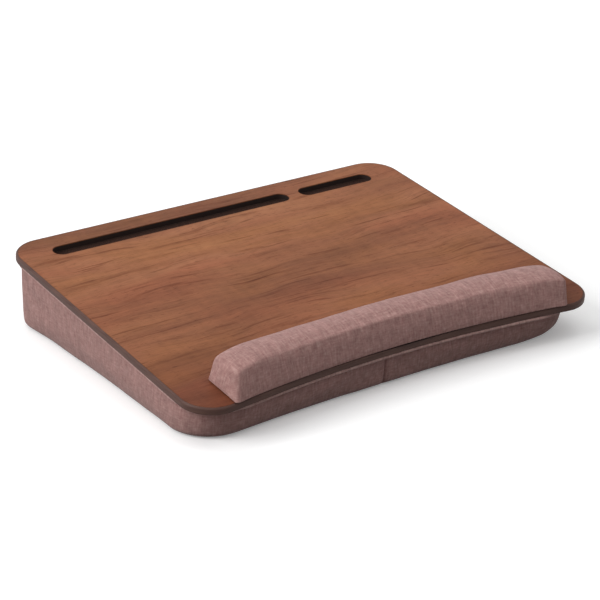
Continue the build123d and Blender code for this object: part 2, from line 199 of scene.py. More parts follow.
# Core: a fibreboard panel. Only the walls of its two slots show, painted near-black.
# Its cut fibres give the paint a slight tooth.
core_paint = Finish("board_black", roughness=0.7, specular=0.3)
paint_cloud = core_paint.noise(core_paint.place((60.0, 60.0, 60.0)), detail=5.0)
core_paint.colour(core_paint.ramp(paint_cloud, (0.3, srgb(34, 22, 19)), (0.7, srgb(46, 31, 27))))
core_paint.bump(core_paint.noise(core_paint.place((1500.0,) * 3), detail=2.0), 0.3, 0.0001)
cover(nodes["board_core"], core_paint)


# Backing sheet: plain dark brown balancing paper pressed on the underside of the board, so that it
# stays flat. Only its rim shows, outside the cushion.
backing = Finish("backing_sheet", roughness=0.6)
backing_cloud = backing.noise(backing.place((30.0, 200.0, 200.0)), detail=4.0)
backing.colour(backing.ramp(backing_cloud, (0.3, srgb(58, 44, 38)), (0.7, srgb(74, 57, 49))))
backing.bump(backing_cloud, 0.2, 0.0001)
cover(nodes["backing_laminate"], backing)


# Edging: a dark grey-brown band glued round the board, flush with its faces and rounded by hand.
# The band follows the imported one, and its bevel is made a soft edge here.
def select_only(piece):
    """Select one piece and make it active."""
    bpy.ops.object.select_all(action="DESELECT")
    piece.select_set(True)
    bpy.context.view_layer.objects.active = piece


def edit(piece):
    """Open a piece in edit mode with everything selected."""
    select_only(piece)
    bpy.ops.object.mode_set(mode="EDIT")
    bpy.ops.mesh.select_all(action="SELECT")


def copy_of(node, name):
    """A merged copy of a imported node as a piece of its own."""
    piece = nodes[node].copy()
    piece.data = nodes[node].data.copy()
    for key in list(piece.keys()):
        del piece[key]
    piece.name = piece.data.name = name
    piece.parent = None
    piece.matrix_world = nodes[node].matrix_world
    scene.collection.objects.link(piece)
    select_only(piece)
    bpy.ops.object.transform_apply(location=True, rotation=True, scale=True)
    edit(piece)
    bpy.ops.mesh.remove_doubles(threshold=0.00001)
    bpy.ops.object.mode_set(mode="OBJECT")
    return piece


def apply(piece, kind, **settings):
    """Add a modifier to a piece and apply it."""
    select_only(piece)
    modifier = piece.modifiers.new(kind.lower(), kind)
    for name, value in settings.items():
        setattr(modifier, name, value)
    bpy.ops.object.modifier_apply(modifier=modifier.name)


edge_paint = Finish("edging", roughness=0.55, specular=0.2)
edge_cloud = edge_paint.noise(edge_paint.place((40.0, 40.0, 300.0)), detail=5.0)
edge_paint.colour(edge_paint.ramp(edge_cloud, (0.3, srgb(72, 49, 43)), (0.7, srgb(93, 67, 59))))
edge_paint.bump(edge_paint.noise(edge_paint.place((900.0,) * 3), detail=2.0), 0.2, 0.0001)
edging = copy_of("edge_band", "edging")
edit(edging)
bpy.ops.mesh.dissolve_limited(angle_limit=math.radians(2))
bpy.ops.object.mode_set(mode="OBJECT")
edge_round = 0.0006
apply(edging, "BEVEL", width=edge_round, segments=3, limit_method="ANGLE", angle_limit=math.radians(30))
select_only(edging)
bpy.ops.object.shade_smooth_by_angle(angle=math.radians(35))
cover(edging, edge_paint)
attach(edging, "desk")
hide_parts("edge_band")


# Cushion cover: linen strips sewn round a foam wedge, pulled tight over its sides.
# They are made as one ring, from the back left seam by the left side and the front, which is blown
# out a little from inside, then cut apart at the seams.
board_width = 0.400
board_depth = 0.320
board_slope = math.radians(6.0)
board_front_height = 0.035
board_thickness = 0.006
corner_radius = 0.028
front_hollow = 0.013
cushion_middle_x = -0.005
cushion_back_inset = 0.005
cushion_top_side_inset = 0.009
cushion_top_front_inset = 0.0078
cushion_top_hollow = 0.0102
cushion_top_radius = 0.038
footprint_side_inset = 0.009
footprint_front_inset = 0.017
footprint_hollow = 0.005
footprint_corner_radius = 0.038
cushion_back_radius = 0.026
cushion_bulge = 0.0015
bottom_round = 0.006
cloth = 0.001
front_seam_x = -0.011
back_seam_x = 0.160
window_low = 0.025
window_high = 0.037
column_step = 0.0036

slope_cos = math.cos(board_slope)
slope_sin = math.sin(board_slope)
board_front_y = -(board_depth * slope_cos + board_thickness * slope_sin) / 2


def on_board(u, v, w):
    """Point of the desk's frame for u across, v up the slope and w above the board's top."""
    y = board_front_y + v * slope_cos - w * slope_sin
    z = board_front_height + v * slope_sin + w * slope_cos
    return Vector((u, y, z))


def between(low, high, share):
    """The value that lies a share of the way from low to high."""
    return low + (high - low) * share


class Outline:
    """A rounded outline with a hollow front, as nine stretches from the back left seam round."""

    def __init__(self, width, depth, front_radius, back_radius, hollow, inset=0.0):
        corner_x = width / 2 - front_radius
        distance = (corner_x**2 + hollow**2) / (2 * hollow)
        self.lean = math.asin(corner_x / distance)
        self.sweep_centre = hollow - distance + front_radius
        self.front_arc = distance - front_radius + inset
        self.front_corner = (corner_x, front_radius)
        self.front_radius = front_radius - inset
        self.back_corner = (width / 2 - back_radius, depth - back_radius)
        self.back_radius = back_radius - inset
        self.back = depth - inset
        self.half = width / 2 - inset

    def lengths(self):
        """Length of each stretch."""
        back_left = self.back_corner[0] - back_seam_x
        back_turn = self.back_radius * math.pi / 2
        side = self.back_corner[1] - self.front_corner[1]
        front_turn = self.front_radius * (math.pi / 2 - self.lean)
        front = 2 * self.front_arc * self.lean
        back = self.back_corner[0] + back_seam_x
        return [back_left, back_turn, side, front_turn, front, front_turn, side, back_turn, back]

    def point(self, stretch, share):
        """Point a share of the way along a stretch."""
        if stretch in (5, 6, 7):
            x, v = self.point(8 - stretch, 1 - share)
            return -x, v
        if stretch == 0:
            return -between(back_seam_x, self.back_corner[0], share), self.back
        if stretch == 1:
            angle = between(0.0, math.pi / 2, share)
            x = self.back_corner[0] + self.back_radius * math.sin(angle)
            return -x, self.back_corner[1] + self.back_radius * math.cos(angle)
        if stretch == 2:
            return -self.half, between(self.back_corner[1], self.front_corner[1], share)
        if stretch == 3:
            angle = between(0.0, math.pi / 2 - self.lean, share)
            x = self.front_corner[0] + self.front_radius * math.cos(angle)
            return -x, self.front_corner[1] - self.front_radius * math.sin(angle)
        if stretch == 4:
            angle = between(-self.lean, self.lean, share)
            v = self.sweep_centre + self.front_arc * math.cos(angle)
            return self.front_arc * math.sin(angle), v
        return between(self.back_corner[0], -back_seam_x, share), self.back

    def columns(self, step, seams=()):
        """Places about a step apart along all stretches, with close ones by each seam."""
        places = []
        for stretch, length in enumerate(self.lengths()):
            count = max(2, round(length / step))
            shares = [index / count for index in range(count)]
            for seam_stretch, seam_share in seams:
                if seam_stretch == stretch:
                    shares = [s for s in shares if abs(s - seam_share) * length > 0.75 * step]
                    near = [seam_share + side / length for side in (-0.0022, -0.0009, 0, 0.0009, 0.0022)]
                    shares = sorted(shares + near)
            places += [(stretch, share) for share in shares]
        return places


cushion_top_front = on_board(0, cushion_top_front_inset, -board_thickness)
cushion_back_y = -board_front_y - cushion_back_inset
footprint_front_y = board_front_y + footprint_front_inset


def cushion_level(height, drawn_in):
    """The cushion's outline at a height of its front wall, its front line and its tilt."""
    share = height / cushion_top_front.z
    swell = 4 * cushion_bulge * share * (1 - share)
    front_y = between(footprint_front_y, cushion_top_front.y, share) - swell
    tilt = board_slope * max(0.0, height - bottom_round) / (cushion_top_front.z - bottom_round)
    side_inset = between(footprint_side_inset, cushion_top_side_inset, share) - swell
    outline = Outline(
        board_width - 2 * side_inset,
        (cushion_back_y - front_y) / math.cos(tilt),
        between(footprint_corner_radius, cushion_top_radius, share),
        cushion_back_radius,
        between(footprint_hollow, cushion_top_hollow, share),
        drawn_in,
    )
    return outline, front_y, tilt


def back_height(height):
    """Height of the back wall where the level starts at this height in front."""
    outline, front_y, tilt = cushion_level(height, 0.0)
    return height + outline.back * math.sin(tilt)


def level_at_back(wanted):
    """Front height of the level that meets the back wall at the wanted height."""
    low, high = bottom_round, cushion_top_front.z
    for _ in range(40):
        middle = (low + high) / 2
        low, high = (middle, high) if back_height(middle) < wanted else (low, middle)
    return low


top_outline = cushion_level(cushion_top_front.z, 0.0)[0]
seam_angle = math.asin((front_seam_x - cushion_middle_x) / top_outline.front_arc)
front_seam = (4, 0.5 + seam_angle / (2 * top_outline.lean))
back_corner_x = top_outline.back_corner[0]
right_back_seam = (8, (back_corner_x - back_seam_x) / (back_corner_x + back_seam_x))
wall_columns = top_outline.columns(column_step, seams=(front_seam, right_back_seam))

wall_levels = []
round_steps = 6
for step in range(round_steps):
    turn = math.radians(90 * step / round_steps)
    wall_levels.append((bottom_round * (1 - math.cos(turn)), bottom_round * (1 - math.sin(turn))))
heights = (bottom_round, level_at_back(window_low), level_at_back(window_high), cushion_top_front.z)
for low, high, count in zip(heights, heights[1:], (5, 3, 6)):
    wall_levels += [(between(low, high, step / count), 0.0) for step in range(count)]
wall_levels.append((cushion_top_front.z, 0.0))

wall_reach = [0.0]
for stretch, length in enumerate(top_outline.lengths()):
    wall_reach.append(wall_reach[-1] + length)


side_hollow = 0.0021
right_corner_swell = 0.0055
right_corner_lift = 0.0072
front_skew = 0.0085


def settled(spot):
    """A point of the cushion as it sits: its sides hollow, its right front corner lifted a little.

    All of it grows from the top of the wall, where the cushion is glued, to the floor.
    """
    behind_front = spot.y - footprint_front_y
    top = cushion_top_front.z + max(0.0, behind_front) * slope_sin / slope_cos
    low = max(0.0, 1 - spot.z / top)
    x = spot.x - cushion_middle_x
    waist = math.sin(math.pi * min(1.0, max(0.0, (behind_front - 0.02) / 0.25)))
    corner = max(0.0, x - 0.12) / 0.07 * max(0.0, 1 - behind_front / 0.06)
    near_front = max(0.0, 1 - behind_front / 0.12)
    outwards = right_corner_swell * corner - side_hollow * waist * (x / 0.19) ** 5
    return spot + low * Vector((outwards, front_skew * x * near_front, right_corner_lift * corner**2))


wave_depth = 0.0010
lip_depth = 0.0016
lip_share = 0.12


def place_on_wall(column, row):
    """Point of the cover for a column and a row of its strips.

    The cloth has slow waves low down and a lip under the board.
    """
    stretch, share = wall_columns[column % len(wall_columns)]
    height, drawn_in = wall_levels[row]
    along = between(wall_reach[stretch], wall_reach[stretch + 1], share)
    low_share = 1 - height / cushion_top_front.z
    wave = noise.noise(Vector((along * 16, 4.2, 0.0)))
    wave += 0.5 * noise.noise(Vector((along * 38, 1.7, row * 0.15)))
    if stretch in (0, 8):
        wave = 0.0
    lip = max(0.0, (lip_share - low_share) / lip_share) ** 2
    outwards = wave_depth * wave * low_share + lip_depth * lip
    outline, front_y, tilt = cushion_level(height, drawn_in - outwards)
    x, v = outline.point(stretch, share)
    y = front_y + v * math.cos(tilt)
    return settled(Vector((cushion_middle_x + x, y, height + v * math.sin(tilt))))


def wall_cloth(spot, face_spots):
    """Place on the cloth, in metres, of a column and row: along the ring and up the wall."""
    column, row = spot
    stretch, share = wall_columns[column % len(wall_columns)]
    along = between(wall_reach[stretch], wall_reach[stretch + 1], share)
    if column == len(wall_columns):
        along = wall_reach[-1]
    return along, place_on_wall(column, row).z


def grid(name, across, up, place, cloth_place):
    """A ring of cloth laid by place(column, row), with a cloth map in metres."""
    bpy.ops.mesh.primitive_grid_add(x_subdivisions=across, y_subdivisions=up, size=1)
    piece = bpy.context.object
    piece.name = piece.data.name = name
    mesh = piece.data
    spots = []
    for vertex in mesh.vertices:
        column = round((vertex.co.x + 0.5) * across)
        row = round((vertex.co.y + 0.5) * up)
        spots.append((column, row))
        vertex.co = place(column % across, row)
    cloth_map = mesh.uv_layers.active
    cloth_map.name = "cloth"
    for face in mesh.polygons:
        face_spots = [spots[index] for index in face.vertices]
        for loop_index in face.loop_indices:
            spot = spots[mesh.loops[loop_index].vertex_index]
            cloth_map.data[loop_index].uv = cloth_place(spot, face_spots)
    edit(piece)
    bpy.ops.mesh.remove_doubles(threshold=0.00001)
    bpy.ops.object.mode_set(mode="OBJECT")
    return piece


def inflate(piece, held, pressure, cap, stiffness=15.0, frames=20):
    """Blow cloth out a little from inside, held at some points, and cap how far it goes."""
    start = [vertex.co.copy() for vertex in piece.data.vertices]
    group = piece.vertex_groups.new(name="held")
    for index, weight in held.items():
        group.add([index], weight, "REPLACE")
    select_only(piece)
    modifier = piece.modifiers.new("cloth", "CLOTH")
    settings = modifier.settings
    settings.quality = 5
    settings.mass = 0.3
    settings.tension_stiffness = stiffness
    settings.compression_stiffness = stiffness
    settings.shear_stiffness = stiffness / 3
    settings.bending_stiffness = 0.5
    settings.use_pressure = True
    settings.uniform_pressure_force = pressure
    settings.vertex_group_mass = "held"
    settings.effector_weights.gravity = 0.0
    modifier.collision_settings.use_collision = False
    modifier.point_cache.frame_start = 1
    modifier.point_cache.frame_end = frames
    for number in range(1, frames + 1):
        scene.frame_set(number)
    bpy.ops.object.modifier_apply(modifier="cloth")
    scene.frame_set(1)
    piece.vertex_groups.clear()
    furthest = 0.0
    for vertex, before in zip(piece.data.vertices, start):
        moved = vertex.co - before
        furthest = max(furthest, moved.length)
        if moved.length > cap:
            vertex.co = before + moved * (cap / moved.length)
    print("inflated", piece.name, "by", round(furthest * 1000, 2), "mm")


board_up = Vector((0, -slope_sin, slope_cos))
cover_ring = grid("cover_ring", len(wall_columns), len(wall_levels) - 1, place_on_wall, wall_cloth)
wall_held = {}
floor_touch = 0.0009
for vertex in cover_ring.data.vertices:
    x_in_cushion = vertex.co.x - cushion_middle_x
    on_floor = vertex.co.z < floor_touch
    on_top = (vertex.co - on_board(0, 0, -board_thickness)).dot(board_up) > -0.0008
    on_back = vertex.co.y > cushion_back_y - 0.0004 and abs(x_in_cushion) < back_seam_x + 0.004
    on_seam = abs(vertex.co.x - front_seam_x) < 0.0012 and vertex.co.y < 0
    if on_floor or on_top or on_back:
        wall_held[vertex.index] = 1.0
    elif on_seam:
        wall_held[vertex.index] = 0.97
inflate(cover_ring, wall_held, pressure=0.9, cap=0.0016)

pucker_depth = 0.00025
slack_depth = 0.0005
seam_half_width = 0.0019
seams = (
    (front_seam_x, -1, 0.0030),
    (cushion_middle_x - back_seam_x, 1, 0.0008),
    (cushion_middle_x + back_seam_x, 1, 0.0008),
)
for vertex in cover_ring.data.vertices:
    if vertex.index not in wall_held:
        pucker = noise.noise(vertex.co * 55 + Vector((3.1, 7.7, 1.3)))
        slack = noise.noise(Vector((vertex.co.x * 17, vertex.co.y * 17, vertex.co.z * 8)))
        vertex.co += vertex.normal * (pucker_depth * pucker + slack_depth * slack)
    for seam, reach, depth in seams:
        away = abs(vertex.co.x - seam) / seam_half_width
        if away < 1 and vertex.co.y * reach > 0.1 and vertex.co.z > floor_touch:
            vertex.co.y -= reach * depth * (1 - away) ** 2


def linen_cloth(name, shade=(1.0, 1.0, 1.0, 1.0)):
    """Dusty mauve melange linen on a cloth map in metres, tinted paler or darker; the piping's paler tint
    is a painted highlight.

    Its threads vary in thickness and shade, so short paler and darker slubs run both ways.
    """
    finish = Finish(name, roughness=0.92, specular=0.1)
    finish.shader.inputs["Sheen Weight"].default_value = 0.15
    finish.shader.inputs["Sheen Roughness"].default_value = 0.5
    upright = finish.noise(finish.place((600.0, 130.0, 0.0), "UV"), detail=3.0, roughness=0.6)
    level = finish.noise(finish.place((170.0, 600.0, 0.0), "UV"), detail=3.0, roughness=0.6)
    cloud = finish.noise(finish.place((150.0, 65.0, 0.0), "UV"), detail=4.0, roughness=0.65)
    fuzz = finish.noise(finish.place((2200.0, 2200.0, 0.0), "UV"), detail=2.0)
    uprights = finish.math("MULTIPLY", upright, 0.55)
    levels = finish.math("MULTIPLY", level, 0.45)
    threads = finish.math("ADD", uprights, levels)
    tone = finish.ramp(
        threads,
        (0.34, srgb(144, 105, 100)),
        (0.44, srgb(160, 121, 116)),
        (0.54, srgb(170, 132, 126)),
        (0.66, srgb(184, 149, 142)),
    )
    cloud_tone = finish.ramp(cloud, (0.32, grey(0.82)), (0.66, grey(1.12)))
    fuzz_tone = finish.ramp(fuzz, (0.3, grey(0.90)), (0.7, grey(1.06)))
    tone = finish.mix(0.8, tone, cloud_tone, "MULTIPLY")
    tone = finish.mix(0.7, tone, fuzz_tone, "MULTIPLY")
    finish.colour(finish.mix(1.0, tone, shade, "MULTIPLY"))
    waves = []
    for direction, scale in (("X", (370.0, 40.0, 0.0)), ("Y", (40.0, 370.0, 0.0))):
        inputs = {"Vector": finish.place(scale, "UV"), "Scale": 1.0}
        waves.append(finish.node("TexWave", inputs, bands_direction=direction).outputs[1])
    weave = finish.math("MULTIPLY", *waves)
    relief = finish.math("ADD", finish.math("MULTIPLY", weave, 0.5), threads)
    finish.bump(relief, 0.5, 0.00035)
    return finish


linen = linen_cloth("linen")


def remove_faces(piece, unwanted):
    """Delete the faces whose centre passes unwanted."""
    select_only(piece)
    bpy.ops.object.mode_set(mode="EDIT")
    bpy.ops.mesh.select_mode(type="FACE")
    bpy.ops.mesh.select_all(action="DESELECT")
    bpy.ops.object.mode_set(mode="OBJECT")
    for face in piece.data.polygons:
        face.select = unwanted(face.center)
    bpy.ops.object.mode_set(mode="EDIT")
    bpy.ops.mesh.delete(type="FACE")
    bpy.ops.mesh.select_mode(type="VERT")
    bpy.ops.object.mode_set(mode="OBJECT")


def between_back_seams(spot):
    """True on the back wall between the two back seams."""
    return spot.y > cushion_back_y - 0.010 and abs(spot.x - cushion_middle_x) < back_seam_x


def thicken(piece):
    """Round a strip's facets and give its cloth its thickness, inwards."""
    apply(piece, "SUBSURF", levels=1, render_levels=1)
    apply(piece, "SOLIDIFY", thickness=cloth, offset=-1.0, use_even_offset=True)
    select_only(piece)
    bpy.ops.object.shade_smooth_by_angle(angle=math.radians(50))


strips = {
    "gusset_left": lambda spot: between_back_seams(spot) or spot.x > front_seam_x,
    "gusset_right": lambda spot: between_back_seams(spot) or spot.x < front_seam_x,
    "back_gusset_upper": lambda spot: not between_back_seams(spot) or spot.z < window_high,
    "back_gusset_lower": lambda spot: not between_back_seams(spot) or spot.z > window_low,
}
for node, unwanted in strips.items():
    strip = cover_ring.copy()
    strip.data = cover_ring.data.copy()
    strip.name = strip.data.name = node + "_cloth"
    scene.collection.objects.link(strip)
    remove_faces(strip, unwanted)
    thicken(strip)
    cover(strip, linen)
    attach(strip, "desk")
    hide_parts(node)
bpy.data.objects.remove(cover_ring)


# Bottom panel: one piece of the same linen under the foam, sewn to the strips all round.
# It lies flat where the desk stands, and only its rim follows the lifted corner.
rim_width = 0.003
inner_width = 0.006


def flat_panel(name, outline, place, flat_height=None):
    """A panel cut to an outline, laid flat inside its rim, with a cloth map in metres."""
    edge = [outline.point(*column) for column in outline.columns(0.004)]
    bpy.ops.mesh.primitive_circle_add(vertices=len(edge), radius=1, fill_type="NGON")
    piece = bpy.context.object
    piece.name = piece.data.name = name
    turned = sorted(piece.data.vertices, key=lambda vertex: math.atan2(vertex.co.y, vertex.co.x))
    for vertex, (x, v) in zip(turned, edge):
        vertex.co = place(x, v)
    edit(piece)
    bpy.ops.mesh.inset(thickness=rim_width, depth=0)
    bpy.ops.mesh.inset(thickness=inner_width, depth=0)
    bpy.ops.object.mode_set(mode="OBJECT")
    if flat_height is not None:
        rim = [place(x, v).xy for x, v in edge]
        for vertex in piece.data.vertices:
            if min((vertex.co.xy - spot).length for spot in rim) > 0.005:
                vertex.co.z = flat_height
    cloth_map = piece.data.uv_layers.active or piece.data.uv_layers.new()
    cloth_map.name = "cloth"
    for loop in piece.data.loops:
        spot = piece.data.vertices[loop.vertex_index].co
        cloth_map.data[loop.index].uv = (spot.x, spot.y)
    edit(piece)
    bpy.ops.mesh.normals_make_consistent(inside=False)
    bpy.ops.object.mode_set(mode="OBJECT")
    apply(piece, "SOLIDIFY", thickness=cloth, offset=0.0)
    return piece


bottom_panel = flat_panel(
    "bottom_panel_cloth",
    cushion_level(0.0, bottom_round + 0.0002)[0],
    lambda x, v: settled(Vector((cushion_middle_x + x, footprint_front_y + v, cloth / 2))),
    cloth / 2,
)
cover(bottom_panel, linen)
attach(bottom_panel, "desk")
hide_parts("bottom_panel")


# Top panel: black non-woven cloth over the foam, glued under the board.
# It is seen as the dark floor of the slots.
nonwoven = Finish("black_nonwoven", roughness=0.95, specular=0.1)
felt = nonwoven.noise(nonwoven.place((900.0,) * 3), detail=4.0)
nonwoven.colour(nonwoven.ramp(felt, (0.3, srgb(34, 22, 19)), (0.7, srgb(66, 46, 39))))
nonwoven.bump(felt, 0.5, 0.0003)
top_panel = flat_panel(
    "cushion_top_cloth",
    cushion_level(cushion_top_front.z, 0.0003)[0],
    lambda x, v: on_board(
        cushion_middle_x + x, v + cushion_top_front_inset, -board_thickness - cloth / 2 - 0.00005
    ),
)
cover(top_panel, nonwoven)
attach(top_panel, "desk")
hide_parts("cushion_top_panel")


# Piping: a thin roll of the linen, sewn in where the strips meet the top panel, tinted paler and greyer
# as a painted highlight. It peeps out under the board's edge, furthest in front.
piping_radius = 0.0016
piping_rows = 12
piping_reach = 0.0014
piping_front_reach = 0.0036
piping_size = (
    board_width - 2 * cushion_top_side_inset,
    board_depth - cushion_top_front_inset - cushion_back_inset,
    cushion_top_radius,
    cushion_back_radius,
    cushion_top_hollow,
)
piping_outline = Outline(*piping_size, -piping_reach)
piping_front = Outline(*piping_size, -piping_front_reach)
piping_columns = piping_outline.columns(0.003)


def place_on_piping(column, row):
    """Point of the piping's skin for a column along it and a row round it."""
    stretch, share = piping_columns[column]
    line = Vector(piping_outline.point(stretch, share))
    front_line = Vector(piping_front.point(stretch, share))
    inwards = (line - front_line).normalized()
    forward = {3: share, 4: 1.0, 5: 1 - share}.get(stretch, 0.0)
    x, v = line.lerp(front_line, forward)
    angle = 2 * math.pi * row / piping_rows
    radius = piping_radius * (1 + 0.07 * noise.noise(Vector((x * 150, v * 150, row * 0.7))))
    aside = inwards * radius * math.cos(angle)
    w = -board_thickness - piping_radius * 1.08 - radius * math.sin(angle)
    return on_board(cushion_middle_x + x + aside.x, cushion_top_front_inset + v + aside.y, w)


piping = grid(
    "piping_roll",
    len(piping_columns),
    piping_rows,
    place_on_piping,
    lambda spot, face_spots: (spot[0] * 0.003, spot[1] * 2 * math.pi * piping_radius / piping_rows),
)
edit(piping)
bpy.ops.mesh.normals_make_consistent(inside=False)
bpy.ops.object.mode_set(mode="OBJECT")
select_only(piping)
bpy.ops.object.shade_smooth()
# Paler, greyer tint: a painted highlight where the piping catches light under the board.
cover(piping, linen_cloth("linen_piping_painted_highlight", (1.30, 1.42, 1.42, 1.0)))
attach(piping, "desk")
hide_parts("top_piping")


# Foam: a cream wedge inside the cushion, cut from soft foam. It sits with the cushion and is hollow
# behind the front seam and behind the zip, clear of the cloth and the slider.
foam_finish = Finish("foam", roughness=0.95, specular=0.1)
cells = foam_finish.node("TexVoronoi", {"Vector": foam_finish.place((1100.0,) * 3), "Scale": 1.0})
foam_finish.colour(
    foam_finish.ramp(cells.outputs[0], (0.1, srgb(206, 198, 176)), (0.6, srgb(232, 226, 206)))
)
foam_finish.bump(cells.outputs[0], 0.6, 0.0004)
foam_wedge = copy_of("foam_wedge", "foam_wedge_block")
apply(foam_wedge, "REMESH", mode="VOXEL", voxel_size=0.005)
apply(foam_wedge, "SMOOTH", factor=0.5, iterations=3)
seam_hollow = 0.0035
zip_hollow = 0.020
zip_hollow_half = 0.011
for vertex in foam_wedge.data.vertices:
    vertex.co = settled(vertex.co)
    if abs(vertex.co.x - front_seam_x) < 0.009 and vertex.co.y < -0.10:
        vertex.co.y += seam_hollow
    off_zip = abs(vertex.co.z - (window_low + window_high) / 2) / zip_hollow_half
    near_zip = off_zip < 1 and abs(vertex.co.x - cushion_middle_x) < back_seam_x
    if near_zip and vertex.co.y > cushion_back_y - 0.015:
        vertex.co.y -= zip_hollow * (1 - off_zip**2)
select_only(foam_wedge)
bpy.ops.object.shade_smooth()
cover(foam_wedge, foam_finish)
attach(foam_wedge, "desk")
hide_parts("foam_wedge")


# Wrist rest: a foam bar on a stiff base, wrapped in linen that is turned in under the base.
# It follows the board's hollow front, flush with its edge. Its front leans back, its top is
# crowned, and both its ends lean to the right as they rise.
rest_width = 0.332
rest_depth = 0.0415
rest_height = 0.0250
rest_setback = -0.0010
rest_lift = 0.0005
rest_front_lean = 0.0085
rest_front_height = 0.0241
rest_back_lean = 0.0010
rest_crown = 0.0012
rest_back_round = 0.0080
rest_front_round = 0.0042
rest_fold = 0.0007
rest_end_round = 0.0062
rest_turn_in = 0.009
board_outline = Outline(board_width, board_depth, corner_radius, corner_radius, front_hollow)


def rest_ring(drawn_in, inset, floor):
    """Points round the rest's section, drawn in at its ends: back, top, front, below.

    Each corner has its place, its radius, the number of points that follow it and their crown.
    """
    top = rest_lift + rest_height - drawn_in - inset
    front_top = rest_lift + rest_front_height - drawn_in - inset
    low = 0.5 * drawn_in + inset
    corners = (
        ((rest_depth - low, floor), rest_fold, 7, 0.0),
        ((rest_depth - rest_back_lean - drawn_in - inset, top), rest_back_round, 11, rest_crown),
        ((rest_front_lean + drawn_in + inset, front_top), rest_front_round, 7, 0.0),
        ((low, floor), rest_fold, 13, 0.0),
    )
    arcs = []
    for index, (spot, radius, _, _) in enumerate(corners):
        here = Vector(spot)
        back = (Vector(corners[index - 1][0]) - here).normalized()
        ahead = (Vector(corners[(index + 1) % 4][0]) - here).normalized()
        half = back.angle(ahead) / 2
        centre = here + (back + ahead).normalized() * radius / math.sin(half)
        first = here + back * radius / math.tan(half) - centre
        last = here + ahead * radius / math.tan(half) - centre
        turn = last.angle(first)
        arc = []
        for step in range(5):
            share = step / 4
            blend = (first * math.sin((1 - share) * turn) + last * math.sin(share * turn)) / math.sin(turn)
            arc.append(centre + blend)
        arcs.append(arc)
    ring = []
    for index, (_, _, count, crown) in enumerate(corners):
        ring += arcs[index]
        start, end = arcs[index][-1], arcs[(index + 1) % 4][0]
        for step in range(1, count):
            share = step / count
            spot = start.lerp(end, share)
            spot.y += crown * 4 * share * (1 - share)
            ring.append(spot)
    return ring


rest_rows = []
for step in range(4):
    rest_rows.append((-rest_width / 2, rest_end_round, 1 - step / 4))
for step in range(6):
    turn = math.radians(90 - 15 * step)
    x = -rest_width / 2 + rest_end_round * (1 - math.sin(turn))
    rest_rows.append((x, rest_end_round * (1 - math.cos(turn)), 0.0))
main_half = rest_width / 2 - rest_end_round
main_count = 104
for step in range(main_count + 1):
    rest_rows.append((between(-main_half, main_half, step / main_count), 0.0, 0.0))
rest_rows += [(-x, drawn_in, closing) for x, drawn_in, closing in reversed(rest_rows[:10])]


def rest_rings(inset, floor):
    """A ring of the rest's section for each amount that its ends are drawn in."""
    return {drawn_in: rest_ring(drawn_in, inset, floor) for _, drawn_in, _ in rest_rows}


foam_inset = 0.0022
foam_floor = 0.0040
cover_rings = rest_rings(0.0, rest_lift)
foam_rings = rest_rings(foam_inset, rest_lift + foam_floor)
ring_size = len(cover_rings[0.0])
ring_girth = [0.0]
for first, second in zip(cover_rings[0.0], cover_rings[0.0][1:] + cover_rings[0.0][:1]):
    ring_girth.append(ring_girth[-1] + (second - first).length)


def rest_section_spot(rings, column, row):
    """Place along the rest, from its front and above the board for a point of its cover."""
    x, drawn_in, closing = rest_rows[row]
    spot = rings[drawn_in][column % ring_size]
    spot = spot.lerp(Vector((rest_depth / 2, rest_lift + 0.45 * rest_height)), closing)
    return x, spot.x, spot.y


end_reach = 0.030
end_front = 0.012
left_end_lean = 0.0042
right_end_lean = 0.0062
right_end_foot = 0.0005
end_dome = 0.0010
end_drop = 0.0042
end_lift = 0.0006
end_forward = 0.0020
middle_narrower = 0.0014
ends_wider = 0.0034


def place_on_rest(rings, column, row, shorter=0.0):
    """Point of the rest, with its ends leaning, sinking and swelling as the real ones do."""
    x, v, w = rest_section_spot(rings, column, row)
    up = max(0.0, (w - rest_lift) / rest_height)
    low = max(0.0, 1 - 3 * up)
    near_end = max(0.0, abs(x) - rest_width / 2 + end_reach) / end_reach
    out = min(1.0, abs(x) * 2 / rest_width)
    dome = end_dome * rest_rows[row][2] * (2 - rest_rows[row][2])
    x *= 1 - 2 * shorter / rest_width
    if x < 0:
        x += near_end**2 * left_end_lean * up - dome
    else:
        x += near_end**2 * (right_end_lean * up - right_end_foot) + dome
    sag = noise.noise(Vector((x * 21, 0.6, w * 30))) * 0.0006 * up
    ridge = noise.noise(Vector((x * 60, v * 60, 2.5))) * 0.0003 * up
    deeper = v / rest_depth * (ends_wider * out**2 - middle_narrower)
    deeper -= end_forward * near_end**4 * max(0.0, 1 - v / end_front)
    if low < 0.5:
        deeper += sag
    front = board_outline.sweep_centre + math.sqrt(board_outline.front_arc**2 - x**2)
    lifted = end_lift * near_end**4 * low * min(1.0, v / end_front) - end_drop * up * near_end**2
    return on_board(x, front + rest_setback + v + deeper, w + sag + ridge + lifted)


def rest_cloth(spot, face_spots):
    """Place on the cloth of a point of the cover: flat on the ends, round the bar between."""
    column, row = spot
    x, v, w = rest_section_spot(cover_rings, column, row)
    if max(r for _, r in face_spots) <= 4 or min(r for _, r in face_spots) >= len(rest_rows) - 5:
        return v + 0.5, w
    columns = [c for c, _ in face_spots]
    return x, -ring_girth[column if max(columns) == ring_size else column % ring_size]


rest_foam = grid(
    "wrist_rest_foam_bar",
    ring_size,
    len(rest_rows) - 1,
    lambda column, row: place_on_rest(foam_rings, column, row, foam_inset),
    rest_cloth,
)
edit(rest_foam)
bpy.ops.mesh.normals_make_consistent(inside=False)
bpy.ops.object.mode_set(mode="OBJECT")
select_only(rest_foam)
bpy.ops.object.shade_smooth()
cover(rest_foam, foam_finish)
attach(rest_foam, "desk")
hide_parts("wrist_rest_foam")

